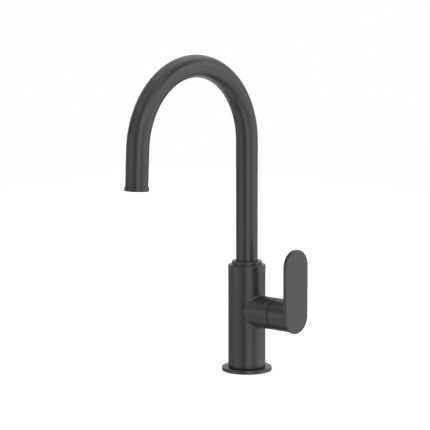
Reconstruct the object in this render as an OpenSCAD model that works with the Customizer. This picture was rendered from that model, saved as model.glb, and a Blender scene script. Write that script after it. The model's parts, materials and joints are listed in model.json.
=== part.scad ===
// Single-lever sink mixer with a swivelling gooseneck spout and a side paddle handle.
// Frame: origin at the centre of the flange's underside, on the deck. +Z is up, the spout
// points along -Y, and the handle's axis runs along +X.

/* [Base flange] */
// Outside diameter of the flange that stands on the deck
flange_d = 57.4; // [54:0.1:62]
// Thickness of the flange
flange_h = 4.3; // [3.6:0.1:5]
// Radius of the round edge at the flange's underside
flange_edge_r = 0.3; // [0.2:0.1:1.2]

/* [Body] */
// Diameter of the upright body
body_d = 43; // [42.6:0.2:45]
// Height of the body's top face above the deck
body_top = 123.4; // [122.9:0.1:130]
// Height of the valve's horizontal axis above the deck
axis_z = 70.8; // [66:0.1:72]
// Radius of the round edge at the body's top
body_edge_r = 0.8; // [0.4:0.1:1.2]
// Height of the recess between the flange and the body's foot
foot_gap = 0.5; // [0.4:0.1:2]
// Radius of the round edge at the body's foot
foot_edge_r = 0.6; // [0.4:0.1:2]

/* [Spout] */
// Outside diameter of the spout tube
tube_d = 25; // [24.9:0.05:25.1]
// Wall of the spout tube
tube_wall = 1.4; // [1.3:0.05:1.45]
// Height at which the riser ends and the arch starts
arch_z = 265.4; // [230:0.1:300]
// Radius of the arch, at the centre of the tube
arch_r = 89.2; // [70:0.1:110]
// Angle that the arch turns through
arch_deg = 177.3; // [170:0.1:180]
// Straight length from the arch's end to the outlet's lower face
tip_len = 44.5; // [40:0.1:70]
// Diameter of the ring at the outlet
ring_d = 26.9; // [26.6:0.1:28]
// Height of the ring at the outlet
ring_h = 4.5; // [4.2:0.1:6]

/* [Collar] */
// Diameter of the collar round the foot of the riser
collar_d = 34.4; // [33:0.1:38]
// Height of the collar above the body
collar_h = 4.4; // [3.6:0.1:5]

/* [Handle] */
// Diameter of the valve branch and of the handle's hub
hub_d = 36.8; // [36.4:0.1:37.2]
// Distance from the body's axis to the end face of the fixed branch
seam_x = 44.9; // [44.8:0.1:45.1]
// Width of the seam between the branch and the hub
seam_gap = 1.1; // [1.0:0.05:1.3]
// Distance from the body's axis to the back of the paddle
paddle_x = 69.9; // [69.5:0.1:72]
// Thickness of the paddle
paddle_t = 4.7; // [4:0.1:6.5]
// Width of the paddle, the same as the diameter of its round ends
paddle_w = 38.4; // [37.4:0.1:40]
// Height of the paddle's upper centre above the valve's axis
paddle_rise = 57.5; // [40:0.1:70]
// Radius of the paddle's round edges
paddle_edge_r = 1.1; // [0.6:0.1:1.8]

/* [Valve] */
// Distance from the body's axis to the lever's pivot pin
pivot_x = 34.2; // [34.1:0.05:34.3]
// Length from the pivot pin to the ball at the lever's inner end
ball_arm = 8.5; // [8.4:0.05:8.6]
// Width across the flats of the lever's square stem
stem_w = 6; // [5.8:0.05:6.05]
// Sideways offset of the closed moving disc from the valve's axis
disc_offset = 1.6; // [1.5:0.05:1.65]
// Radius of the ports through the ceramic discs
port_r = 1.8; // [1.6:0.05:1.8]

/* [Fixings] */
// Radius of the core of each M10 x 1 inlet thread
inlet_r = 4.5; // [4.4:0.05:4.55]
// Radius of the core of the M8 stud thread
stud_r = 3.35; // [3.3:0.05:3.4]
// Depth of the inlet and stud threads
thread_len = 12; // [10:0.5:14]

/* [Hidden] */
$fn = 72;
body_r = body_d / 2;
tube_r = tube_d / 2;
bore_r = tube_r - tube_wall;
hub_r = hub_d / 2;
paddle_r = paddle_w / 2;
collar_top = body_top + collar_h;
hub_x = seam_x + seam_gap;
// The hub's open end is hollowed to a sphere about the pivot, so it can tilt over the branch
cup_r = norm([hub_x - pivot_x - 0.1, hub_r]);
dome_r = cup_r - 0.6;
// The spout's parts inside the body, measured down from the body's top
ledge_z = body_top - 16;
spigot_z = ledge_z + 1.35;
shoulder_h = 3.4;
tube_z = spigot_z + shoulder_h + 0.05;
sump_z = body_top - 34.6;
// Places of the water ports, seen along the valve's axis, as [y, z]
ports = [[3.68, 3.68], [-3.68, 3.68], [0, -4.8]];
inlet_x = 4;
inlet_y = 8;
stud_x = -10.5;
riser_x = -6;
screw_x = 60;
skin = "#47474a";
brass = "#c9a552";
steel = "#b9bcc0";
rubber = "#1d1d1f";
nylon = "#e8e6df";
ceramic = "#f2f0ea";

// Points of an arc about [cx, cy], from angle a0 to a1
function arc(cx, cy, r, a0, a1, n = 8) = [for (i = [0:n]) let (a = a0 + (a1 - a0) * i / n) [cx + r * cos(a), cy + r * sin(a)]];

// The arch's own frame: its centre, with the riser at angle 0 and the outlet leg at angle arch_deg
module in_arch() { translate([0, -arch_r, arch_z]) rotate([90, 0, 90]) children(); }
// Children point down the outlet leg, from the arch's end
module at_outlet() { in_arch() rotate([0, 0, arch_deg]) translate([arch_r, 0, 0]) rotate([-90, 0, 0]) children(); }
// Children stand along the valve's axis, from the body's axis outwards
module on_valve() { translate([0, 0, axis_z]) rotate([0, 90, 0]) children(); }
// A cylinder along the valve's axis from x0 to x1, offset to [y, z]
module valve_rod(r, x0, x1, at = [0, 0]) {
    translate([x0, at[0], axis_z + at[1]]) rotate([0, 90, 0]) cylinder(r = r, h = x1 - x0);
}
module valve_ring(ro, ri, x0, x1, at = [0, 0]) {
    difference() {
        valve_rod(ro, x0, x1, at);
        valve_rod(ri, x0 - 1, x1 + 1, at);
    }
}
module ring(ro, ri, z0, z1) {
    translate([0, 0, z0]) difference() {
        cylinder(r = ro, h = z1 - z0);
        translate([0, 0, -1]) cylinder(r = ri, h = z1 - z0 + 2);
    }
}
module oring(R, r, z) { translate([0, 0, z]) rotate_extrude() translate([R, 0]) circle(r = r); }

// Upright body with its side branch, waterways and threads
module mixer_body() color(skin) difference() {
    union() {
        rotate_extrude() polygon(concat(
            [[0, flange_h], [body_r - foot_edge_r - 0.4, flange_h], [body_r - foot_edge_r - 0.4, flange_h + foot_gap]],
            arc(body_r - foot_edge_r, flange_h + foot_gap + foot_edge_r, foot_edge_r, -90, 0),
            arc(body_r - body_edge_r, body_top - body_edge_r, body_edge_r, 0, 90),
            [[0, body_top]]));
        // foot that passes through the flange
        cylinder(r = 16.9, h = flange_h + 0.4);
        // valve branch
        on_valve() rotate_extrude() polygon([[0, 2], [hub_r, 2], [hub_r, seam_x - 0.3], [hub_r - 0.08, seam_x - 0.08], [hub_r - 0.3, seam_x], [0, seam_x]]);
    }
    // collar thread, bush seat, spout bore and sump
    translate([0, 0, body_top - 9.5]) cylinder(r = 15.5, h = 20);
    translate([0, 0, ledge_z]) cylinder(r = 14.7, h = 10);
    translate([0, 0, sump_z]) cylinder(r = 10.5, h = 30);
    // cartridge chamber, shoulder seat, nut thread and dome seat
    valve_rod(12.7, 12, 30);
    valve_rod(14.5, 28.9, 32);
    valve_rod(15.1, 31, 42);
    valve_rod(16.2, 41, 50);
    // two blind holes that stop the cartridge from turning
    for (s = [-1, 1]) valve_rod(1.3, 10, 13, [9.6 * s, -3]);
    // inlets: thread, riser and passage to the upper ports
    for (i = [0, 1]) let (s = i == 0 ? 1 : -1) {
        translate([inlet_x, s * inlet_y, -1]) cylinder(r = inlet_r, h = thread_len + 1);
        translate([inlet_x, s * inlet_y, 2]) cylinder(r = 3.5, h = axis_z + 4);
        valve_rod(2, inlet_x - 0.6, 13, ports[i]);
    }
    // mixed water: back from the lower port and up to the sump
    valve_rod(2.6, riser_x, 13, ports[2]);
    translate([riser_x, 0, axis_z - 9]) cylinder(r = 4, h = sump_z - axis_z + 10);
    // stud thread
    translate([stud_x, 0, -1]) cylinder(r = stud_r, h = thread_len + 1);
}

// Flange with a groove for its gasket
module base_flange() color(skin) rotate_extrude() polygon(concat(
    [[17, 0], [20.9, 0], [20.9, 2], [25.6, 2], [25.6, 0]],
    arc(flange_d / 2 - flange_edge_r, flange_edge_r, flange_edge_r, -90, 0),
    arc(flange_d / 2 - 0.5, flange_h - 0.5, 0.5, 0, 90, 6),
    [[17, flange_h]]));
module base_gasket() color(rubber) ring(25.4, 21.1, 0, 1.9);

// Collar that screws into the body and holds the spout down
module spout_collar() color(skin) rotate_extrude() polygon(concat(
    [[13.7, body_top - 9.4], [15.4, body_top - 9.4], [15.4, body_top + 0.02], [collar_d / 2 - 0.2, body_top + 0.02], [collar_d / 2, body_top + 0.22]],
    arc(collar_d / 2 - 0.6, collar_top - 0.6, 0.6, 0, 90),
    [[tube_r + 0.5, collar_top], [tube_r + 0.3, collar_top - 0.2], [tube_r + 0.3, collar_top - 1.4], [13.7, collar_top - 1.4]]));
module spout_upper_bush() color(nylon) rotate_extrude()
    polygon([[tube_r + 0.1, body_top - 11.1], [14.5, body_top - 11.1], [14.5, body_top - 9.5], [13.6, body_top - 9.5],
             [13.6, collar_top - 1.5], [tube_r + 0.1, collar_top - 1.5]]);
module spout_lower_bush() color(nylon) ring(14.5, 10.7, ledge_z + 0.1, ledge_z + 1.2);

// Gooseneck: riser, arch and outlet leg, as a rod of radius r with its ends drawn out by e.
// The leg laps 0.5 mm over the arch's end and is 0.01 mm larger in radius, so the two meet in one clean step.
module bent_rod(r, e) {
    translate([arch_r, 0, 0]) rotate([90, 0, 0]) cylinder(r = r, h = arch_z - tube_z + e);
    rotate_extrude(angle = arch_deg) translate([arch_r, 0]) circle(r = r);
    rotate([0, 0, arch_deg]) translate([arch_r, 0, 0]) rotate([-90, 0, 0]) translate([0, 0, -0.5])
        cylinder(r = r + 0.01, h = tip_len - ring_h + 2 + e);
}
module spout_tube() color(skin) in_arch() difference() {
    union() bent_rod(tube_r, 0);
    union() bent_rod(bore_r, 1);
}
// Brass foot of the spout, brazed into the riser, with two O-ring grooves
module spout_spigot() color(brass) rotate_extrude() polygon([
    [7, sump_z + 3], [9.9, sump_z + 3], [10.35, sump_z + 3.6],
    [10.35, spigot_z - 11.6], [8.7, spigot_z - 11.6], [8.7, spigot_z - 9.4], [10.35, spigot_z - 9.4],
    [10.35, spigot_z - 5.6], [8.7, spigot_z - 5.6], [8.7, spigot_z - 3.4], [10.35, spigot_z - 3.4],
    [10.35, spigot_z], [14.3, spigot_z], [14.3, spigot_z + shoulder_h], [bore_r - 0.1, spigot_z + shoulder_h],
    [bore_r - 0.1, spigot_z + shoulder_h + 11], [bore_r - 0.7, spigot_z + shoulder_h + 11.6], [7, spigot_z + shoulder_h + 11.6]]);
module spout_orings() color(rubber) for (z = [-10.5, -4.5]) oring(9.56, 0.8, spigot_z + z);

// Ring brazed on the outlet, threaded M24 x 1 for the aerator
module outlet_ring() color(skin) at_outlet() rotate_extrude() polygon(concat(
    [[tube_r + 0.05, tip_len - ring_h]],
    arc(ring_d / 2 - 0.5, tip_len - ring_h + 0.5, 0.5, -90, 0, 6),
    arc(ring_d / 2 - 0.5, tip_len - 0.5, 0.5, 0, 90, 6),
    [[12.1, tip_len], [11.6, tip_len - 0.5], [11.6, tip_len - ring_h + 1.55], [tube_r + 0.05, tip_len - ring_h + 1.55]]));
// Threaded aerator housing, sunk in the ring, with a seal groove at its neck
module aerator_housing() color(rubber) at_outlet() difference() {
    rotate_extrude() polygon([
        [9.3, tip_len - 12.5], [bore_r - 0.2, tip_len - 12.5],
        [bore_r - 0.2, tip_len - 7.1], [9.9, tip_len - 7.1], [9.9, tip_len - 5.3], [bore_r - 0.2, tip_len - 5.3],
        [bore_r - 0.2, tip_len - 2.9], [11.5, tip_len - 2.9], [11.5, tip_len - 0.9], [11.1, tip_len - 0.5], [9.3, tip_len - 0.5]]);
    // four key notches in the lower rim
    for (a = [0:90:270]) rotate([0, 0, a + 45]) translate([10.7, -1.1, tip_len - 1.7]) cube([2, 2.2, 2]);
}
module aerator_oring() color(rubber) at_outlet() oring(bore_r - 0.65, 0.55, tip_len - 6.2);
// Honeycomb that lines up the stream
module aerator_grid() color(nylon) at_outlet() translate([0, 0, tip_len - 4.0]) linear_extrude(height = 3)
    difference() {
        circle(r = 9.2);
        for (i = [-4:4]) for (j = [-4:4]) let (x = 2.25 * (i + j / 2), y = 2.25 * j * sin(60))
            if (norm([x, y]) < 7.9) translate([x, y]) rotate([0, 0, 30]) circle(r = 1.1, $fn = 6);
    }
// Perforated inlet disc that keeps grit out of the aerator
module aerator_screen() color(steel) at_outlet() translate([0, 0, tip_len - 12.4]) linear_extrude(height = 0.9)
    difference() {
        circle(r = 9.2);
        for (k = [0:3]) for (i = [0:max(0, 6 * k - 1)]) let (a = k == 0 ? 0 : 360 * i / (6 * k))
            translate([2.1 * k * cos(a), 2.1 * k * sin(a)]) circle(r = 0.65, $fn = 24);
    }

// Ceramic cartridge, from the chamber's floor outwards
module cartridge_base() color(nylon) difference() {
    union() {
        valve_rod(12.4, 12.1, 17);
        for (s = [-1, 1]) valve_rod(1.15, 10.2, 12.6, [9.6 * s, -3]);
    }
    for (p = ports) {
        valve_rod(port_r, 11, 18, p);
        valve_rod(port_r + 1.2, 11, 12.95, p);
        valve_rod(port_r + 1.2, 16.25, 18, p);
    }
}
module cartridge_port_seals() color(rubber) for (p = ports) valve_ring(port_r + 1.1, port_r + 0.1, 12.03, 12.9, p);
module cartridge_disc_seals() color(rubber) for (p = ports) valve_ring(port_r + 1.1, port_r + 0.1, 16.3, 17.02, p);
module cartridge_fixed_disc() color(ceramic) difference() {
    valve_rod(10.2, 17.05, 20.05);
    for (p = ports) valve_rod(port_r, 16, 21, p);
}
module cartridge_housing() color(nylon) on_valve() rotate_extrude() polygon([
    [10.6, 17.05], [12.5, 17.05], [12.5, 29], [14.3, 29], [14.3, 31], [12.5, 31], [12.5, 39.8], [12.1, 40.2],
    [8.3, 40.2], [8.3, 38.5], [10.6, 38.5]]);
module cartridge_nut() color(brass) difference() {
    on_valve() rotate_extrude() polygon([[12.7, 31.05], [14.7, 31.05], [15, 31.35], [15, 40.9], [12.7, 40.9]]);
    // six slots for a ring spanner
    for (a = [0:60:300]) on_valve() rotate([0, 0, a]) translate([11, -1.6, 38.6]) cube([6, 3.2, 5]);
}
// Round-topped cover under the hub, centred on the pivot
module dome_cover() color(skin) on_valve() rotate_extrude() difference() {
    intersection() {
        translate([0, pivot_x]) circle(r = dome_r);
        translate([11.4, 41.1]) square([4.7, 20]);
    }
    intersection() {
        translate([0, pivot_x]) circle(r = dome_r - 1.7);
        translate([0, 40]) square([14.4, 20]);
    }
}

// Turning guide that carries the pivot pin and pushes the disc carrier round
module cartridge_rotor() color("#c8524a") difference() {
    union() {
        on_valve() rotate_extrude() polygon([
            [0, 27.3], [10.3, 27.3], [10.3, 36], [9.2, 36], [9.2, 37.5], [10.3, 37.5], [10.3, 38.3], [8, 38.3], [8, 40.6], [0, 40.6]]);
        // two prongs that guide the disc carrier
        difference() {
            valve_rod(10.3, 23.5, 28);
            translate([20, -7.8, axis_z - 15]) cube([10, 15.6, 30]);
        }
    }
    // slot for the lever's swing
    translate([0, stem_w / 2 + 0.15, axis_z]) rotate([90, 0, 0]) linear_extrude(height = stem_w + 0.3) polygon([
        [23, -3.4], [23, 6], [28, 5.6], [31.5, 4.6], [35, 3.4], [42, 3.4], [42, -7], [35, -4.1], [31, -3.4]]);
    // pivot pin bore
    translate([pivot_x, 12, axis_z]) rotate([90, 0, 0]) cylinder(r = 1.28, h = 24);
}
module pivot_pin() color(steel) translate([pivot_x, 9.5, axis_z]) rotate([90, 0, 0]) cylinder(r = 1.25, h = 19);
module rotor_oring() color(rubber) on_valve() oring(9.85, 0.58, 36.75);

// Lever stem: square shank in the hub, pivot eye and ball end
module lever_stem() color(steel) difference() {
    union() {
        translate([pivot_x - 3.2, -stem_w / 2, axis_z - stem_w / 2]) cube([62.9 - pivot_x + 3.2, stem_w, stem_w]);
        translate([62.8, -2.4, axis_z - 2.4]) cube([0.7, 4.8, 4.8]);
        valve_rod(1.7, pivot_x - ball_arm, pivot_x - 2);
        translate([pivot_x - ball_arm, 0, axis_z]) sphere(r = 2.1);
    }
    translate([pivot_x, 12, axis_z]) rotate([90, 0, 0]) cylinder(r = 1.32, h = 24);
}
// Hub: hollow, with a boss for the stem and a screw hole underneath
module handle_hub() color(skin) difference() {
    union() {
        // outer wall, floor and boss in one turned shape
        on_valve() rotate_extrude() difference() {
            polygon([[0, hub_x], [hub_r - 0.12, hub_x], [hub_r, hub_x + 0.2], [hub_r, paddle_x], [0, paddle_x]]);
            translate([0, pivot_x]) circle(r = cup_r);
            translate([8, 40]) square([7.4, paddle_x - 5 - 40]);
        }
        // boss for the grub screw
        translate([screw_x, 0, axis_z - 16.5]) cylinder(r = 4.8, h = 12);
    }
    // square socket
    translate([50, -stem_w / 2 - 0.1, axis_z - stem_w / 2 - 0.1]) cube([14, stem_w + 0.2, stem_w + 0.2]);
    // recess for the paddle's spigot
    valve_rod(7.05, paddle_x - 2.7, paddle_x + 1);
    // grub screw hole and plug seat
    translate([screw_x, 0, axis_z - 30]) cylinder(r = 2.55, h = 28);
    translate([screw_x, 0, axis_z - 30]) cylinder(r = 3.05, h = 14.3);
}
// Half section of the paddle: radius r at its rim, round edges of radius e
function paddle_half(r, e) = concat(arc(r - e, e, e, -90, 0), arc(r - e, paddle_t - e, e, 0, 90));
module handle_paddle() color(skin) {
    half = paddle_half(paddle_r, paddle_edge_r);
    union() {
        // lower and upper round ends, then the straight part between them
        for (k = [0, 1]) translate([paddle_x, 0, axis_z + k * paddle_rise]) rotate([0, 90, 0]) rotate([0, 0, k == 0 ? -90 : 90])
            rotate_extrude(angle = 180) polygon(concat([[0, 0]], half, [[0, paddle_t]]));
        translate([0, 0, axis_z]) linear_extrude(height = paddle_rise)
            polygon([for (p = concat(half, [for (q = half) [-q[0], paddle_t - q[1]]])) [paddle_x + p[1], p[0]]]);
        // spigot in the hub
        valve_rod(7, paddle_x - 2.6, paddle_x + 1);
    }
}
module handle_grub_screw() color(steel) difference() {
    translate([screw_x, 0, axis_z - 11.2]) cylinder(r = 2.45, h = 11.2 - stem_w / 2 - 0.05);
    translate([screw_x, 0, axis_z - 12]) cylinder(r = 1.45, h = 3.8, $fn = 6);
}
module grub_screw_plug() color(rubber) translate([screw_x, 0, axis_z]) rotate([180, 0, 0]) rotate_extrude()
    polygon([[0, 15.8], [2.95, 15.8], [2.95, hub_r - 0.8], [2.5, hub_r - 0.45], [0, hub_r - 0.4]]);

// Disc carrier and the ceramic disc that it slides
module disc_carrier() color("#4a76b0") difference() {
    intersection() {
        valve_rod(8.6, 23.2, 27.2, [0, -disc_offset]);
        translate([20, -7.7, axis_z - 15]) cube([10, 15.4, 30]);
    }
    valve_rod(2.25, 23.4, 28);
    translate([26.05, 0, axis_z]) rotate([0, 90, 0]) cylinder(r1 = 2.25, r2 = 3.4, h = 1.5);
}
module moving_disc() color(ceramic) difference() {
    valve_rod(8.7, 20.1, 23.15, [0, -disc_offset]);
    // mixing pocket in the face that rides on the fixed disc
    valve_rod(3, 19, 21.6);
    valve_rod(2.6, 19, 21.6, [0, -4.2]);
}

mixer_body();
base_flange();
base_gasket();
spout_collar();
spout_upper_bush();
spout_lower_bush();
cartridge_base();
cartridge_port_seals();
cartridge_disc_seals();
cartridge_fixed_disc();
cartridge_housing();
cartridge_nut();
dome_cover();
spout_tube();
spout_spigot();
spout_orings();
outlet_ring();
aerator_housing();
aerator_oring();
aerator_grid();
aerator_screen();
cartridge_rotor();
pivot_pin();
rotor_oring();
lever_stem();
handle_hub();
handle_paddle();
handle_grub_screw();
grub_screw_plug();
disc_carrier();
moving_disc();
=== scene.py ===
"""Looks of the gooseneck bar faucet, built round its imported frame. Metres, row frame, Blender 4.5."""

import json
import math

import bmesh
import bpy
import numpy as np
from mathutils import Matrix, Vector


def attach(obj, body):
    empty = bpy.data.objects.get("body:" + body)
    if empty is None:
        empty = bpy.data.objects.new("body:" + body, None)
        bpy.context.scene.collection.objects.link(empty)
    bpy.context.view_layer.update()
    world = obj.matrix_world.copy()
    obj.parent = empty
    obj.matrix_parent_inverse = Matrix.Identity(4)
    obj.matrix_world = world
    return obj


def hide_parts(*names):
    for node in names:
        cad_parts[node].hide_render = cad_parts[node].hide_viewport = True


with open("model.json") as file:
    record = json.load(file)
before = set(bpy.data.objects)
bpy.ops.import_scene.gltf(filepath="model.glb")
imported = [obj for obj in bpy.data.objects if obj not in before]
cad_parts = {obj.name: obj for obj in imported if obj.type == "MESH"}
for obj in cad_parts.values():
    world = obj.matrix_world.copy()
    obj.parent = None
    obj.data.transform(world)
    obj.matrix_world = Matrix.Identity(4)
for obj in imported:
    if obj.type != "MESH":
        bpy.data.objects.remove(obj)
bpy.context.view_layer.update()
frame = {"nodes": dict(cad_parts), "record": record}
NODES = frame["nodes"]
scene = bpy.context.scene

# ---------------------------------------------------------------- dimensions, as in the construction (mm)
FLANGE_D, FLANGE_H = 57.4, 4.3
BODY_R, BODY_TOP, BODY_EDGE = 21.5, 123.4, 0.8
FOOT_Z, FOOT_EDGE = FLANGE_H + 0.5, 0.6
AXIS_Z, HUB_R = 70.8, 18.4
COLLAR_D, COLLAR_H = 34.4, 4.4
TUBE_R, WALL = 12.5, 1.4
ARCH_Z, ARCH_R, ARCH_DEG, TIP_LEN = 265.4, 89.2, 177.3, 44.5
RING_D, RING_H = 26.9, 4.5

# ---------------------------------------------------------------- camera
YAW, PITCH, ROLL = math.radians(41.844), math.radians(7.962), math.radians(-0.114)
ahead = Vector((-math.sin(YAW), math.cos(YAW), 0))
side = Vector((math.cos(YAW), math.sin(YAW), 0))
forward = ahead * math.cos(PITCH) - Vector((0, 0, 1)) * math.sin(PITCH)
up = side.cross(forward)
right = side * math.cos(ROLL) + up * math.sin(ROLL)
up = -side * math.sin(ROLL) + up * math.cos(ROLL)
camera = bpy.data.objects.new("camera", bpy.data.cameras.new("camera"))
camera.data.sensor_width = 36.0
camera.data.lens = 161.84
camera.data.clip_start, camera.data.clip_end = 0.05, 100.0
camera.matrix_world = Matrix(
    (
        (right.x, up.x, -forward.x, 1.4330),
        (right.y, up.y, -forward.y, -1.6549),
        (right.z, up.z, -forward.z, 0.4865),
        (0, 0, 0, 1),
    )
)
scene.collection.objects.link(camera)
scene.camera = camera
scene.view_settings.view_transform = "Standard"
scene.view_settings.look = "None"
scene.view_settings.exposure = 0.0
scene.view_settings.gamma = 1.0

# ---------------------------------------------------------------- materials


def nodes_of(name):
    m = bpy.data.materials.new(name)
    m.use_nodes = True
    t = m.node_tree
    t.nodes.clear()
    out = t.nodes.new("ShaderNodeOutputMaterial")
    bsdf = t.nodes.new("ShaderNodeBsdfPrincipled")
    t.links.new(bsdf.outputs[0], out.inputs["Surface"])
    coords = t.nodes.new("ShaderNodeTexCoord")
    return m, t, bsdf, coords.outputs["Object"]


def noise(t, where, scale, detail=3.0, rough=0.55, stretch=None):
    n = t.nodes.new("ShaderNodeTexNoise")
    n.inputs["Scale"].default_value = scale
    n.inputs["Detail"].default_value = detail
    n.inputs["Roughness"].default_value = rough
    if stretch:
        m = t.nodes.new("ShaderNodeMapping")
        m.inputs["Scale"].default_value = stretch
        t.links.new(where, m.inputs["Vector"])
        where = m.outputs[0]
    t.links.new(where, n.inputs["Vector"])
    return n.outputs["Fac"]


def between(t, fac, low, high, a=0.3, b=0.7):
    """fac from a..b spread over low..high, as a number."""
    r = t.nodes.new("ShaderNodeMapRange")
    r.inputs["From Min"].default_value, r.inputs["From Max"].default_value = a, b
    r.inputs["To Min"].default_value, r.inputs["To Max"].default_value = low, high
    t.links.new(fac, r.inputs["Value"])
    return r.outputs[0]


def tones(t, fac, stops):
    """fac through a colour ramp of (position, (r, g, b)) stops."""
    r = t.nodes.new("ShaderNodeValToRGB")
    while len(r.color_ramp.elements) < len(stops):
        r.color_ramp.elements.new(0.5)
    for e, (p, c) in zip(r.color_ramp.elements, stops):
        e.position, e.color = p, (*c, 1.0)
    t.links.new(fac, r.inputs["Fac"])
    return r.outputs["Color"]


def bump(t, bsdf, heights, distance):
    """heights: (output, strength) pairs, chained into the shader's normal."""
    last = None
    for h, strength in heights:
        b = t.nodes.new("ShaderNodeBump")
        b.inputs["Strength"].default_value = strength
        b.inputs["Distance"].default_value = distance
        t.links.new(h, b.inputs["Height"])
        if last is not None:
            t.links.new(last, b.inputs["Normal"])
        last = b.outputs["Normal"]
    t.links.new(last, bsdf.inputs["Normal"])


def coating(name, tone=0.020, rough=0.34):
    """Matt-black coating on brass: a fine satin grain, faint clouding, and a slightly cool grey."""
    m, t, bsdf, where = nodes_of(name)
    cloud = noise(t, where, 38.0, 4.0, 0.6)
    grain = noise(t, where, 5200.0, 2.0, 0.5)
    bsdf.inputs["Specular IOR Level"].default_value = 0.5
    lo, hi = tone * 0.93, tone * 1.07
    t.links.new(
        tones(t, cloud, [(0.35, (lo, lo, lo * 1.07)), (0.65, (hi, hi, hi * 1.10))]),
        bsdf.inputs["Base Color"],
    )
    t.links.new(between(t, cloud, rough - 0.015, rough + 0.015), bsdf.inputs["Roughness"])
    bump(t, bsdf, [(grain, 0.12)], 0.00002)
    return m


def turned(name, colour, axis, rough=0.24, pitch=0.0004, metallic=1.0):
    """Metal turned on a lathe about a row axis: fine grooves round it and a slightly uneven polish."""
    m, t, bsdf, where = nodes_of(name)
    bsdf.inputs["Metallic"].default_value = metallic
    cloud = noise(t, where, 120.0, 4.0, 0.6)
    streaks = noise(
        t, where, 900.0, 3.0, 0.6, {"x": (1, 0.02, 0.02), "y": (0.02, 1, 0.02), "z": (0.02, 0.02, 1)}[axis]
    )
    grooves = t.nodes.new("ShaderNodeTexWave")
    grooves.wave_type, grooves.bands_direction = "BANDS", axis.upper()
    grooves.inputs["Scale"].default_value = 0.314 / pitch
    grooves.inputs["Distortion"].default_value = 0.6
    grooves.inputs["Detail"].default_value = 2.0
    t.links.new(where, grooves.inputs["Vector"])
    lo = tuple(c * 0.9 for c in colour)
    hi = tuple(min(1.0, c * 1.06) for c in colour)
    t.links.new(tones(t, cloud, [(0.3, lo), (0.7, hi)]), bsdf.inputs["Base Color"])
    t.links.new(between(t, streaks, rough - 0.06, rough + 0.08), bsdf.inputs["Roughness"])
    bump(t, bsdf, [(grooves.outputs["Fac"], 0.10), (streaks, 0.15)], 0.00002)
    return m


def rubber(name, tone=0.018):
    """Moulded rubber: matt, with a fine grain and a little bloom."""
    m, t, bsdf, where = nodes_of(name)
    bloom = noise(t, where, 160.0, 5.0, 0.65)
    grain = noise(t, where, 6000.0, 2.0, 0.5)
    bsdf.inputs["Specular IOR Level"].default_value = 0.35
    lo, hi = tone * 0.8, tone * 1.6
    t.links.new(tones(t, bloom, [(0.4, (lo, lo, lo)), (0.8, (hi, hi, hi * 1.02))]), bsdf.inputs["Base Color"])
    t.links.new(between(t, bloom, 0.68, 0.85), bsdf.inputs["Roughness"])
    bump(t, bsdf, [(grain, 0.3)], 0.00003)
    return m


def moulded(name, colour, rough=0.42, flow=0.10):
    """Moulded plastic: fine spark grain on the skin, and faint flow marks."""
    m, t, bsdf, where = nodes_of(name)
    marks = noise(t, where, 70.0, 3.0, 0.5)
    grain = noise(t, where, 4200.0, 3.0, 0.6)
    lo = tuple(c * (1 - flow) for c in colour)
    hi = tuple(min(1.0, c * (1 + flow / 2)) for c in colour)
    t.links.new(tones(t, marks, [(0.3, lo), (0.7, hi)]), bsdf.inputs["Base Color"])
    t.links.new(between(t, grain, rough - 0.05, rough + 0.07), bsdf.inputs["Roughness"])
    bump(t, bsdf, [(grain, 0.2)], 0.00002)
    return m


def lapped(name, colour):
    """Lapped ceramic: a near-mirror face with the faintest grey speckle."""
    m, t, bsdf, where = nodes_of(name)
    speck = noise(t, where, 2600.0, 4.0, 0.7)
    cloud = noise(t, where, 90.0, 2.0, 0.5)
    lo = tuple(c * 0.9 for c in colour)
    t.links.new(tones(t, speck, [(0.25, lo), (0.5, colour)]), bsdf.inputs["Base Color"])
    t.links.new(between(t, cloud, 0.07, 0.14), bsdf.inputs["Roughness"])
    bump(t, bsdf, [(speck, 0.05)], 0.00001)
    return m


BRASS, STEEL = (0.78, 0.60, 0.30), (0.62, 0.63, 0.65)
LOOKS = {
    "matt_black": coating("matt_black"),
    "seal_rubber": rubber("seal_rubber"),
    "bearing_plastic": moulded("bearing_plastic", (0.80, 0.79, 0.75)),
    "cartridge_plastic": moulded("cartridge_plastic", (0.82, 0.82, 0.80)),
    "rotor_plastic": moulded("rotor_plastic", (0.60, 0.12, 0.10), 0.38),
    "carrier_plastic": moulded("carrier_plastic", (0.10, 0.20, 0.45), 0.38),
    "black_plastic": moulded("black_plastic", (0.03, 0.03, 0.03), 0.45, 0.2),
    "ceramic": lapped("ceramic", (0.88, 0.87, 0.84)),
}
AXES = {
    "cartridge_nut": "x",
    "spout_spigot": "z",
    "pivot_pin": "y",
    "lever_stem": "x",
    "handle_grub_screw": "z",
    "aerator_screen": "z",
}
for s in frame["record"]["subparts"]:
    slot, node = s["material_slot"], s["node"]
    if slot == "bare_brass":
        look = turned("bare_brass_" + AXES[node], BRASS, AXES[node])
    elif slot == "stainless":
        look = turned("stainless_" + AXES[node], STEEL, AXES[node], 0.22, 0.0003)
    else:
        look = LOOKS[slot]
    o = NODES[node]
    o.data.materials.clear()
    o.data.materials.append(look)

# ---------------------------------------------------------------- shapes
Z = AXIS_Z
LOOK = LOOKS["matt_black"]


def arc(cx, cy, r, a0, a1, n=8):
    return [
        (cx + r * math.cos(math.radians(a0 + (a1 - a0) * i / n)), cy + r * math.sin(math.radians(a0 + (a1 - a0) * i / n)))
        for i in range(n + 1)
    ]


def held(points, near=0.06):
    """A closed profile with a point added just inside each end of its long straight runs, so that smooth shading keeps them flat."""
    out = []
    for i, a in enumerate(points):
        b = points[(i + 1) % len(points)]
        out.append(a)
        d = math.dist(a, b)
        if d > 6 * near:
            for s in (near / d, 1 - near / d):
                out.append((a[0] + (b[0] - a[0]) * s, a[1] + (b[1] - a[1]) * s))
    return out


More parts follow.
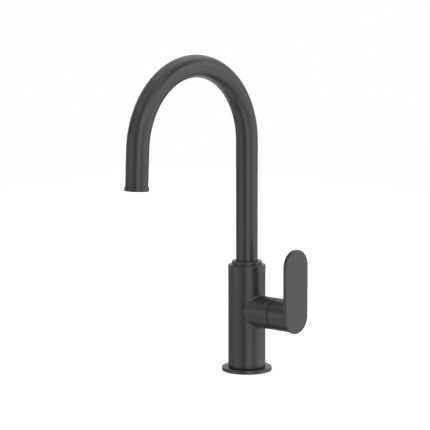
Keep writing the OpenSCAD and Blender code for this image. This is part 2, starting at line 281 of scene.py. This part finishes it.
def lathe(profile, n=128, place=lambda r, a, z: (r * math.cos(a), r * math.sin(a), z)):
    """Rings of a closed (r, z) profile that runs anticlockwise, so that faces look outwards."""
    k = len(profile)
    verts = [place(r, 2 * math.pi * j / n, z) for j in range(n) for r, z in profile]
    faces = [
        (j * k + i, ((j + 1) % n) * k + i, ((j + 1) % n) * k + (i + 1) % k, j * k + (i + 1) % k)
        for j in range(n)
        for i in range(k)
    ]
    return verts, faces


def piece(name, verts, faces, body, replaced, look=LOOK, sharp=32, slot="matt_black"):
    """A new piece from points in mm. Edges sharper than `sharp` degrees stay sharp."""
    me = bpy.data.meshes.new(name)
    me.from_pydata([(x / 1000, y / 1000, z / 1000) for x, y, z in verts], [], faces)
    me.validate()
    bm = bmesh.new()
    bm.from_mesh(me)
    bmesh.ops.recalc_face_normals(bm, faces=bm.faces)
    for f in bm.faces:
        f.smooth = True
    for e in bm.edges:
        if len(e.link_faces) == 2 and e.calc_face_angle(0) > math.radians(sharp):
            e.smooth = False
    bm.to_mesh(me)
    bm.free()
    me.materials.append(look)
    o = bpy.data.objects.new(name, me)
    scene.collection.objects.link(o)
    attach(o, body)
    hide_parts(replaced)
    return o


# base flange, with the gasket's groove underneath
flange_r = FLANGE_D / 2
piece(
    "flange",
    *lathe(
        held(
            [(17, 0), (20.9, 0), (20.9, 2), (25.6, 2), (25.6, 0)]
            + arc(flange_r - 0.3, 0.3, 0.3, -90, 0)
            + arc(flange_r - 0.5, FLANGE_H - 0.5, 0.5, 0, 90)
            + [(17, FLANGE_H)]
        ),
        160,
    ),
    "body",
    "base_flange",
)

# collar round the foot of the riser
c_r, c_top = COLLAR_D / 2, BODY_TOP + COLLAR_H
piece(
    "collar",
    *lathe(
        held(
            [(13.7, BODY_TOP - 9.4), (15.4, BODY_TOP - 9.4), (15.4, BODY_TOP + 0.02)]
            + [(c_r + 0.4, BODY_TOP + 0.02)]
            + arc(c_r + 0.4, BODY_TOP + 0.46, 0.4, -90, -180, 6)
            + arc(c_r - 0.6, c_top - 0.6, 0.6, 0, 90)
            + arc(TUBE_R + 0.5, c_top - 0.2, 0.2, 90, 180, 4)
            + [(TUBE_R + 0.3, c_top - 1.4), (13.7, c_top - 1.4)]
        )
    ),
    "body",
    "spout_collar",
)


# gooseneck: riser, arch and outlet leg in one tube
def gooseneck():
    lean = math.radians(ARCH_DEG)
    tube_z = BODY_TOP - 16 + 1.35 + 3.4 + 0.05
    stops = []  # centre, direction outwards in the plane of the arch
    for i in range(33):
        stops.append(((0, 0, tube_z + (ARCH_Z - tube_z) * i / 32), (1, 0)))
    for i in range(1, 121):
        a = lean * i / 120
        stops.append(((0, -ARCH_R + ARCH_R * math.cos(a), ARCH_Z + ARCH_R * math.sin(a)), (math.cos(a), math.sin(a))))
    end, (c, s) = stops[-1][0], stops[-1][1]
    for i in range(1, 13):
        d = (TIP_LEN - RING_H + 1.5) * i / 12
        stops.append(((0, end[1] - s * d, end[2] + c * d), (c, s)))
    n = 96
    verts, faces = [], []
    for r in (TUBE_R, TUBE_R - WALL):
        for (x, y, z), (c, s) in stops:
            for j in range(n):
                a = 2 * math.pi * j / n
                verts.append((x + r * math.sin(a), y + r * math.cos(a) * c, z + r * math.cos(a) * s))
    m = len(stops)
    for i in range(m - 1):
        for j in range(n):
            a, b = i * n + j, i * n + (j + 1) % n
            faces.append((a, a + n, b + n, b))
            a, b = a + m * n, b + m * n
            faces.append((a, b, b + n, a + n))
    for j in range(n):
        a, b = j, (j + 1) % n
        faces.append((a, b, b + m * n, a + m * n))
        a, b = a + (m - 1) * n, b + (m - 1) * n
        faces.append((a, a + m * n, b + m * n, b))
    return verts, faces, end


tube_verts, tube_faces, arch_end = gooseneck()
piece("gooseneck", tube_verts, tube_faces, "spout", "spout_tube")


def down_leg(r, a, z):
    """Point at radius r, angle a and z mm down the outlet leg from the arch's end."""
    t = math.radians(ARCH_DEG)
    c, s = math.cos(t), math.sin(t)
    return (r * math.sin(a), arch_end[1] + r * math.cos(a) * c - s * z, arch_end[2] + r * math.cos(a) * s + c * z)


piece(
    "outlet_lip",
    *lathe(
        held(
            [(TUBE_R + 0.05, TIP_LEN - RING_H)]
            + arc(RING_D / 2 - 0.5, TIP_LEN - RING_H + 0.5, 0.5, -90, 0, 7)
            + arc(RING_D / 2 - 0.5, TIP_LEN - 0.5, 0.5, 0, 90, 7)
            + arc(12.1, TIP_LEN - 0.5, 0.5, 90, 180, 6)
            + [(11.6, TIP_LEN - RING_H + 1.55), (TUBE_R + 0.05, TIP_LEN - RING_H + 1.55)]
        ),
        128,
        down_leg,
    ),
    "spout",
    "outlet_ring",
)


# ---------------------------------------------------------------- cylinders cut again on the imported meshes
def triangles(points, rims, keep):
    """Delaunay triangles over flat points, where rims are lists of indices that stay edges. keep(x, y) says which middles are in."""
    from mathutils.geometry import delaunay_2d_cdt

    edges = [(r[i], r[i + 1]) for r in rims for i in range(len(r) - 1)]
    vs, _, fs, orig, _, _ = delaunay_2d_cdt([Vector(p) for p in points], edges, [], 0, 1e-7, True)
    back = [o[0] if o else None for o in orig]
    out = []
    for f in fs:
        x = sum(vs[i][0] for i in f) / 3
        y = sum(vs[i][1] for i in f) / 3
        ids = [back[i] for i in f]
        if keep(x, y) and None not in ids and len(set(ids)) == 3:
            out.append(ids)
    return out


def inside(poly, x, y):
    hit = False
    for (x0, y0), (x1, y1) in zip(poly, poly[1:] + poly[:1]):
        if (y0 > y) != (y1 > y) and x < (x1 - x0) * (y - y0) / (y1 - y0) + x0:
            hit = not hit
    return hit


def gap(poly, x, y):
    """Distance from a point to a closed outline."""
    best = 1e9
    for (x0, y0), (x1, y1) in zip(poly, poly[1:] + poly[:1]):
        dx, dy = x1 - x0, y1 - y0
        t = max(0, min(1, ((x - x0) * dx + (y - y0) * dy) / (dx * dx + dy * dy + 1e-12)))
        best = min(best, math.hypot(x0 + t * dx - x, y0 + t * dy - y))
    return best


def welded(node):
    bm = bmesh.new()
    bm.from_mesh(NODES[node].data)
    for v in bm.verts:
        v.co *= 1000
    bmesh.ops.remove_doubles(bm, verts=bm.verts, dist=1e-4)
    return bm


def drop(bm, on):
    """Removes the faces whose points all satisfy on, and what they leave loose."""
    faces = [f for f in bm.faces if all(on(v.co) for v in f.verts)]
    bmesh.ops.delete(bm, geom=faces, context="FACES_ONLY")
    bmesh.ops.delete(bm, geom=[e for e in bm.edges if not e.link_faces], context="EDGES")
    bmesh.ops.delete(bm, geom=[v for v in bm.verts if not v.link_edges], context="VERTS")
    bm.verts.ensure_lookup_table()
    bm.edges.ensure_lookup_table()


def rims_of(bm, on):
    """Closed chains of open edges whose points satisfy on."""
    left = {e for e in bm.edges if len(e.link_faces) == 1 and all(on(v.co) for v in e.verts)}
    out = []
    while left:
        e = left.pop()
        chain = [e.verts[0], e.verts[1]]
        while chain[-1] is not chain[0]:
            step = next((x for x in chain[-1].link_edges if x in left), None)
            if step is None:
                raise RuntimeError("an open edge leads nowhere")
            left.discard(step)
            chain.append(step.other_vert(chain[-1]))
        out.append(chain[:-1])
    return out


def wrap(bm, R, to_uv, to_xyz, on, extra_hole=None, cell=5.0):
    """Fills a cylinder's wall again, between its two end rims and round its holes, on an even grid. Returns the new faces."""
    rims = rims_of(bm, on)
    rings, holes = [], []
    for r in rims:
        turns = 0.0
        for a, b in zip(r, r[1:] + r[:1]):
            d = to_uv(b.co)[0] - to_uv(a.co)[0]
            turns += (d + math.pi) % (2 * math.pi) - math.pi
        (rings if abs(turns) > 3 else holes).append(r)
    assert len(rings) == 2, f"{len(rings)} end rims"
    rings.sort(key=lambda r: to_uv(r[0].co)[1])
    pts, verts = [], []

    def add(u, v, vert):
        pts.append((u * R, v))
        verts.append(vert)
        return len(pts) - 1

    chains, cut = [], []
    for r in rings:
        r = sorted(r, key=lambda v: to_uv(v.co)[0])
        # to_uv's angle runs from -pi to pi, so its first vertex is the nearest past the cut
        ids = [add(*to_uv(v.co), v) for v in r]
        u, w = to_uv(r[0].co)
        ids.append(add(u + 2 * math.pi, w, r[0]))
        chains.append(ids)
        cut.append((u, w))
    (u0, v0), (u1, v1) = cut
    rows = max(2, round((v1 - v0) / cell))
    left, right_ = [chains[0][0]], [chains[0][-1]]
    for k in range(1, rows):
        u, w = u0 + (u1 - u0) * k / rows, v0 + (v1 - v0) * k / rows
        vert = bm.verts.new(to_xyz(u, w))
        left.append(add(u, w, vert))
        right_.append(add(u + 2 * math.pi, w, vert))
    left.append(chains[1][0])
    right_.append(chains[1][-1])
    chains += [left, right_]
    outlines = []
    for h in holes + ([extra_hole] if extra_hole else []):
        ids = [add(*to_uv(v.co), v) for v in h]
        outlines.append([pts[i] for i in ids])
        chains.append(ids + ids[:1])
    columns = sorted(to_uv(v.co)[0] for v in rings[0])
    for k in range(1, rows):
        for u in columns[1:]:
            w = v0 + (v1 - v0) * k / rows
            x, y = u * R, w
            if any(inside(o, x, y) or gap(o, x, y) < cell * 0.22 for o in outlines):
                continue
            if u - (u0 + (u1 - u0) * k / rows) < 0.02:
                continue
            add(u, w, bm.verts.new(to_xyz(u, w)))
    made = []
    for ids in triangles(pts, chains, lambda x, y: not any(inside(o, x, y) for o in outlines)):
        tri = [verts[i] for i in ids]
        if len(set(tri)) == 3:
            made.append(bm.faces.new(tri))
    return made


def shaded(bm, name, body, replaced, exact, sharp=32, look=LOOK):
    """A piece from a mesh in mm. exact(face, point) gives the true normal where it is known; elsewhere it is averaged over the faces that meet within `sharp` degrees."""
    bmesh.ops.recalc_face_normals(bm, faces=bm.faces)
    bm.normal_update()
    limit = math.cos(math.radians(sharp))
    size = {f: f.calc_area() for f in bm.faces}
    normals = []
    bm.faces.ensure_lookup_table()
    for f in bm.faces:
        f.smooth = True
        for loop in f.loops:
            n = exact(f, loop.vert.co)
            if n is None:
                n = Vector()
                for g in loop.vert.link_faces:
                    if g.normal.dot(f.normal) > limit:
                        n += g.normal * size[g]
                n = n.normalized() if n.length > 0 else f.normal.copy()
            normals.append(n)
    for v in bm.verts:
        v.co *= 0.001
    me = bpy.data.meshes.new(name)
    bm.to_mesh(me)
    bm.free()
    me.normals_split_custom_set([tuple(n) for n in normals])
    me.materials.append(look)
    o = bpy.data.objects.new(name, me)
    scene.collection.objects.link(o)
    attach(o, body)
    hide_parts(replaced)
    return o


# body: the branch flows into the upright with a cast fillet
FILLET = 3.0
EPS = 0.004


def on_upright(p):
    return abs(math.hypot(p.x, p.y) - BODY_R) < EPS and FOOT_Z + FOOT_EDGE - 0.01 < p.z < BODY_TOP - BODY_EDGE + 0.01


def on_branch(p):
    return abs(math.hypot(p.y, p.z - Z) - HUB_R) < EPS and 5 < p.x < 44.61


def make_body():
    bm = welded("mixer_body")
    drop(bm, lambda p: on_upright(p))
    drop(bm, lambda p: on_branch(p))
    end = next(r for r in rims_of(bm, lambda p: on_branch(p) and p.x > 44.5) if len(r) > 20)
    end.sort(key=lambda v: math.atan2(v.co.z - Z, v.co.y))
    angles = [math.atan2(v.co.z - Z, v.co.y) for v in end]
    n, steps = len(end), 9
    R1, R2, rho = BODY_R, HUB_R, FILLET
    grid, centres = [], []
    for a in angles:
        y, z = (R2 + rho) * math.cos(a), (R2 + rho) * math.sin(a)
        x = math.sqrt((R1 + rho) ** 2 - y * y)
        c = Vector((x, y, Z + z))
        foot = Vector((x * R1 / (R1 + rho), y * R1 / (R1 + rho), Z + z))
        top = Vector((x, R2 * math.cos(a), Z + R2 * math.sin(a)))
        d0, d1 = (foot - c) / rho, (top - c) / rho
        grid.append([bm.verts.new(c + d0.slerp(d1, k / steps) * rho) for k in range(steps + 1)])
        centres.append(c)
    blend_faces, branch_faces = {}, set()
    for i in range(n):
        j = (i + 1) % n
        for k in range(steps):
            f = bm.faces.new((grid[i][k], grid[j][k], grid[j][k + 1], grid[i][k + 1]))
            blend_faces[f] = (i, j)
    of_vert = {v: centres[i] for i in range(n) for v in grid[i]}
    rows = 8
    lines = []
    for i in range(n):
        a, b = grid[i][-1].co, end[i].co
        line = [grid[i][-1]]
        line += [bm.verts.new(a.lerp(b, k / rows)) for k in range(1, rows)]
        lines.append(line + [end[i]])
    for i in range(n):
        j = (i + 1) % n
        for k in range(rows):
            branch_faces.add(bm.faces.new((lines[i][k], lines[j][k], lines[j][k + 1], lines[i][k + 1])))
    hole = [g[0] for g in grid]
    skip = set(hole)
    wall = wrap(
        bm,
        BODY_R,
        lambda p: (math.atan2(p.y, p.x), p.z),
        lambda u, w: (BODY_R * math.cos(u), BODY_R * math.sin(u), w),
        lambda p: on_upright(p) and not any((p - v.co).length < 1e-5 for v in skip),
        hole,
    )
    wall = set(wall)
    edge_z, edge_r = BODY_TOP - BODY_EDGE, BODY_R - BODY_EDGE
    foot_z, foot_r = FOOT_Z + FOOT_EDGE, BODY_R - FOOT_EDGE

    def exact(f, p):
        if f in wall:
            return Vector((p.x, p.y, 0)).normalized()
        if f in branch_faces:
            return Vector((0, p.y, p.z - Z)).normalized()
        if f in blend_faces:
            i, j = blend_faces[f]
            c = centres[i] if abs((p - centres[i]).length - FILLET) <= abs((p - centres[j]).length - FILLET) else centres[j]
            return (c - p).normalized()
        r = math.hypot(p.x, p.y)
        out = f.normal.x * p.x + f.normal.y * p.y
        if out > 0.02 * r and r > edge_r - 0.01:
            if edge_z - 0.01 < p.z < BODY_TOP + 0.01 and all(v.co.z > edge_z - 0.01 for v in f.verts):
                return Vector((p.x / r * (r - edge_r), p.y / r * (r - edge_r), p.z - edge_z)).normalized()
            if foot_z + 0.01 > p.z > FOOT_Z - 0.01 and all(v.co.z < foot_z + 0.01 for v in f.verts):
                return Vector((p.x / r * (r - foot_r), p.y / r * (r - foot_r), p.z - foot_z)).normalized()
        return None

    # recalc_face_normals keeps the face objects, so the sets above stay good
    return shaded(bm, "body_casting", "body", "mixer_body", exact)


make_body()


# hub: its outer wall again, round the grub screw's hole
def on_hub(p):
    return abs(math.hypot(p.y, p.z - Z) - HUB_R) < EPS and 46.1 < p.x < 69.95


def make_hub():
    bm = welded("handle_hub")
    drop(bm, on_hub)
    wall = set(
        wrap(
            bm,
            HUB_R,
            lambda p: (math.atan2(p.y, Z - p.z), p.x),
            lambda u, w: (w, HUB_R * math.sin(u), Z - HUB_R * math.cos(u)),
            on_hub,
            None,
            3.0,
        )
    )

    def exact(f, p):
        if f in wall:
            return Vector((0, p.y, p.z - Z)).normalized()
        return None

    return shaded(bm, "hub", "lever", "handle_hub", exact)


make_hub()


# paddle: a stadium plate with round edges and a spigot in the hub
def make_paddle():
    x0, t, R, rise, e = 69.9, 4.7, 19.2, 57.5, 0.65
    n, m = 48, 16

    def outline(r):
        pts = [(r * math.cos(a), Z + rise + r * math.sin(a)) for a in (math.pi * i / n for i in range(n + 1))]
        pts += [(-r, Z + rise - rise * k / m) for k in range(1, m)]
        pts += [(r * math.cos(a), Z + r * math.sin(a)) for a in (math.pi + math.pi * i / n for i in range(n + 1))]
        pts += [(r, Z + rise * k / m) for k in range(1, m)]
        return pts

    section = [(R - e - 0.5, 0), (R - e - 0.05, 0)] + arc(R - e, e, e, -90, 0, 8)
    section += [(R, e + 0.06), (R, t - e - 0.06)] + arc(R - e, t - e, e, 0, 90, 8)
    section += [(R - e - 0.05, t), (R - e - 0.5, t)]
    verts, faces = [], []
    for r, x in section:
        verts += [(x0 + x, y, z) for y, z in outline(r)]
    k = len(outline(R))
    for i in range(len(section) - 1):
        for j in range(k):
            a, b = i * k + j, i * k + (j + 1) % k
            faces.append((a, b, b + k, a + k))
    # front: strips from side to side
    last = (len(section) - 1) * k
    half = n // 2

    def across(a, b, c, d):
        ids = []
        for i in (a, b, c, d):
            i = last + i % k
            if i not in ids:
                ids.append(i)
        if len(ids) > 2:
            faces.append(tuple(ids))

    for s in range(half + m + half):
        a, b = half - s, half - s - 1
        c, d = half + s + 1, half + s
        across(a, b, c, d)
    # back: flat round the spigot, then the spigot and its end
    rim = outline(section[0][0])
    q = 64
    circle = [(7 * math.cos(2 * math.pi * i / q), Z + 7 * math.sin(2 * math.pi * i / q)) for i in range(q)]
    base = len(verts)
    verts += [(x0, y, z) for y, z in circle]
    pts = rim + circle
    chain = [list(range(k)) + [0], [k + i for i in range(q)] + [k]]
    for ids in triangles(pts, chain, lambda x, y: not inside(circle, x, y)):
        faces.append(tuple(i if i < k else base + i - k for i in ids))
    for x, r in ((-2.3, 7.0), (-2.6, 6.7)):
        verts += [(x0 + x, r * math.cos(2 * math.pi * i / q), Z + r * math.sin(2 * math.pi * i / q)) for i in range(q)]
    for s in range(2):
        for i in range(q):
            a, b = base + s * q + i, base + s * q + (i + 1) % q
            faces.append((a, a + q, b + q, b))
    faces.append(tuple(base + 2 * q + i for i in range(q)))
    return verts, faces


piece("paddle", *make_paddle(), "lever", "handle_paddle")

# ---------------------------------------------------------------- floor and light
floor_mesh = bpy.data.meshes.new("floor")
floor_mesh.from_pydata([(-1.5, -1.5, 0), (1.5, -1.5, 0), (1.5, 1.5, 0), (-1.5, 1.5, 0)], [], [(0, 1, 2, 3)])
floor = bpy.data.objects.new("floor", floor_mesh)
scene.collection.objects.link(floor)
pale, t, bsdf, where = nodes_of("pale_floor")
bsdf.inputs["Base Color"].default_value = (0.9, 0.9, 0.9, 1)
bsdf.inputs["Roughness"].default_value = 0.9
# A little light of its own keeps the floor as white as the background, but for a trace of shadow at the foot
bsdf.inputs["Emission Color"].default_value = (1, 1, 1, 1)
bsdf.inputs["Emission Strength"].default_value = 0.35
pale.cycles.emission_sampling = "NONE"
floor_mesh.materials.append(pale)
# The floor takes the object's shadow, but doesn't stop the light from the lower halves of the softboxes
floor.visible_diffuse = floor.visible_glossy = floor.visible_shadow = False

# Softboxes on a ring round the object, in columns: name, first and last azimuth, bands (lower and upper edge in m, brightness)
RING = 3.0
CENTRE = Vector((0, -0.07, 0.18))
SOFTBOXES = [
    ("left_back", -186, -154, [(-4.0, 5.9, 0.39)]),
    ("left_dark", -154, -140, [(-4.0, -0.55, 0.75), (-0.55, 2.36, 0.10), (2.36, 5.9, 0.47)]),
    ("left_strip", -140, -126, [(-4.0, -0.55, 0.39), (-0.55, 0.93, 1.13), (0.93, 2.36, 0.20), (2.36, 5.9, 1.46)]),
    ("left_side", -126, -112, [(-4.0, 5.9, 1.09)]),
    ("left_front", -112, -78, [(-4.0, 5.9, 0.77)]),
    ("key", -54, -18, [(-4.0, 0.93, 1.55), (0.93, 2.36, 2.08), (2.36, 5.9, 0.94)]),
    ("between", -18, 6, [(-4.0, 0.93, 0.45), (0.93, 2.36, 1.68), (2.36, 5.9, 0.94)]),
    ("right", 6, 66, [(-4.0, 0.93, 1.19), (0.93, 2.36, 1.68), (2.36, 5.9, 0.14)]),
    ("right_back", 66, 102, [(-4.0, 2.36, 0.50), (2.36, 5.9, 1.34)]),
    ("back_right", 102, 138, [(-4.0, -1.2, 1.01), (-1.2, 0.18, 0.23), (0.18, 2.36, 0.69), (2.36, 5.9, 1.34)]),
    ("back_left", 138, 174, [(-4.0, -1.2, 1.01), (-1.2, 0.18, 0.23), (0.18, 2.36, 0.69), (2.36, 5.9, 0.56)]),
]


def softbox(name, place, facing, upwards, width, height, brightness):
    lamp = bpy.data.lights.new(name, "AREA")
    lamp.shape, lamp.size, lamp.size_y = "RECTANGLE", width, height
    lamp.energy = brightness * 4 * width * height
    o = bpy.data.objects.new(name, lamp)
    z = -Vector(facing).normalized()
    x = Vector(upwards).cross(z).normalized()
    y = z.cross(x)
    o.matrix_world = Matrix(((x.x, y.x, z.x, place[0]), (x.y, y.y, z.y, place[1]), (x.z, y.z, z.z, place[2]), (0, 0, 0, 1)))
    o.visible_camera = False
    scene.collection.objects.link(o)


for name, first, last, bands in SOFTBOXES:
    a = math.radians((first + last) / 2)
    way = Vector((math.cos(a), math.sin(a), 0))
    width = 2 * RING * math.tan(math.radians(last - first) / 2)
    for k, (low, high, brightness) in enumerate(bands):
        place = Vector((CENTRE.x, CENTRE.y, (low + high) / 2)) + way * RING
        softbox(f"{name}_{k}", place, -way, (0, 0, 1), width, high - low, brightness)
for name, shift, brightness in (("top_front", -0.75, 0.84), ("top_back", 0.75, 1.15)):
    softbox(name, CENTRE + Vector((0, 0, RING)) + ahead * shift, (0, 0, -1), ahead, 3.0, 1.5, brightness)
softbox("bottom", CENTRE - Vector((0, 0, RING)), (0, 0, 1), (0, 1, 0), 2.6, 2.6, 0.94)

# The background is white, and the light comes from the softboxes alone
world = bpy.data.worlds.new("studio")
world.use_nodes = True
t = world.node_tree
seen = t.nodes.new("ShaderNodeLightPath")
t.nodes["Background"].inputs["Color"].default_value = (1, 1, 1, 1)
t.links.new(seen.outputs["Is Camera Ray"], t.nodes["Background"].inputs["Strength"])
scene.world = world
